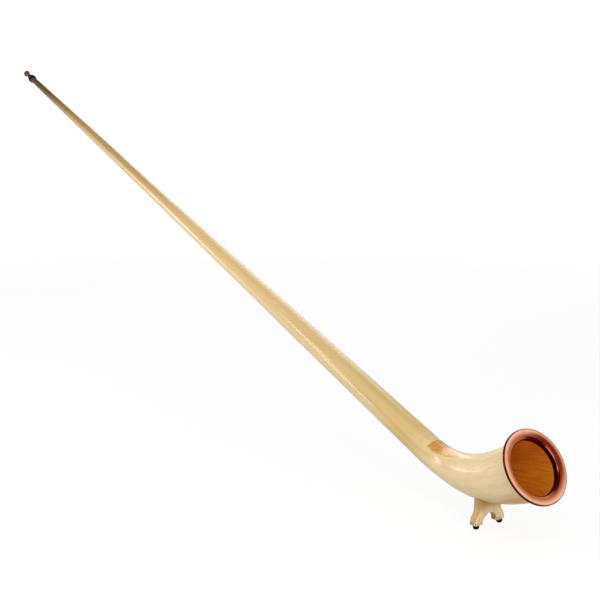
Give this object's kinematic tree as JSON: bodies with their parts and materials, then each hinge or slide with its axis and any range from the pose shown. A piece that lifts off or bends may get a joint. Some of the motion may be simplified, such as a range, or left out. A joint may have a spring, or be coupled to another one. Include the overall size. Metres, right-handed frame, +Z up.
{
  "type": "alphorn",
  "caption": "Long conical wooden alphorn in plug-in sections, with a turned mouthpiece, an upturned bell with a copper ring and a foot with rubber feet.",
  "frame": {"origin": "middle of the footprint of the whole horn, on the floor, in the plane that halves the horn", "axes": "+Z up, +X the way the bell points, +Y to the player's left"},
  "size_m": [3.2504, 0.1866, 1.2058],
  "materials": {
    "lacquered_spruce": "clear gloss lacquer",
    "foot_wood": "carved, satin lacquer",
    "dark_wood": "turned, oiled dark hardwood",
    "mouthpiece_wood": "turned, polished",
    "bell_copper": "spun copper sheet, polished",
    "receiver_metal": "turned",
    "joint_metal": "turned, satin",
    "black_rubber": "moulded, matte"
  },
  "bodies": {
    "bell_section": {"bell_tube_left_half": "lacquered_spruce", "bell_tube_right_half": "lacquered_spruce", "bell_left_half": "lacquered_spruce", "bell_right_half": "lacquered_spruce", "bell_ring": "bell_copper", "bell_joint_socket_sleeve": "joint_metal", "foot_board": "foot_wood", "foot_dowel_left": "foot_wood", "foot_dowel_right": "foot_wood", "rubber_foot_left": "black_rubber", "rubber_foot_right": "black_rubber"},
    "bell_joint_seals": {"bell_joint_upper_seal": "black_rubber", "bell_joint_lower_seal": "black_rubber"},
    "middle_section": {"middle_tube_left_half": "lacquered_spruce", "middle_tube_right_half": "lacquered_spruce", "bell_joint_tenon": "joint_metal", "hand_joint_socket_sleeve": "joint_metal"},
    "hand_joint_seals": {"hand_joint_upper_seal": "black_rubber", "hand_joint_lower_seal": "black_rubber"},
    "hand_section": {"hand_tube_left_half": "lacquered_spruce", "hand_tube_right_half": "lacquered_spruce", "hand_joint_tenon": "joint_metal", "mouthpiece_collar": "dark_wood", "receiver_bush": "receiver_metal"},
    "mouthpiece": {"mouthpiece": "mouthpiece_wood"}
  },
  "joints": [
    {"name": "bell_joint_pull", "type": "slide", "parent": "bell_section", "child": "bell_joint_seals", "axis": [-0.9367, 0, 0.3502], "range_m": [0, 0.12]},
    {"name": "bell_joint_twist", "type": "hinge", "parent": "bell_joint_seals", "child": "middle_section", "pos_m": [0.47126, 0, 0.41157], "axis": [-0.9367, 0, 0.3502], "continuous": true},
    {"name": "hand_joint_pull", "type": "slide", "parent": "middle_section", "child": "hand_joint_seals", "axis": [-0.9367, 0, 0.3502], "range_m": [0, 0.12]},
    {"name": "hand_joint_twist", "type": "hinge", "parent": "hand_joint_seals", "child": "hand_section", "pos_m": [-0.21466, 0, 0.66802], "axis": [-0.9367, 0, 0.3502], "continuous": true},
    {"name": "mouthpiece_pull", "type": "slide", "parent": "hand_section", "child": "mouthpiece", "axis": [-0.9367, 0, 0.3502], "range_m": [0, 0.07]}
  ]
}
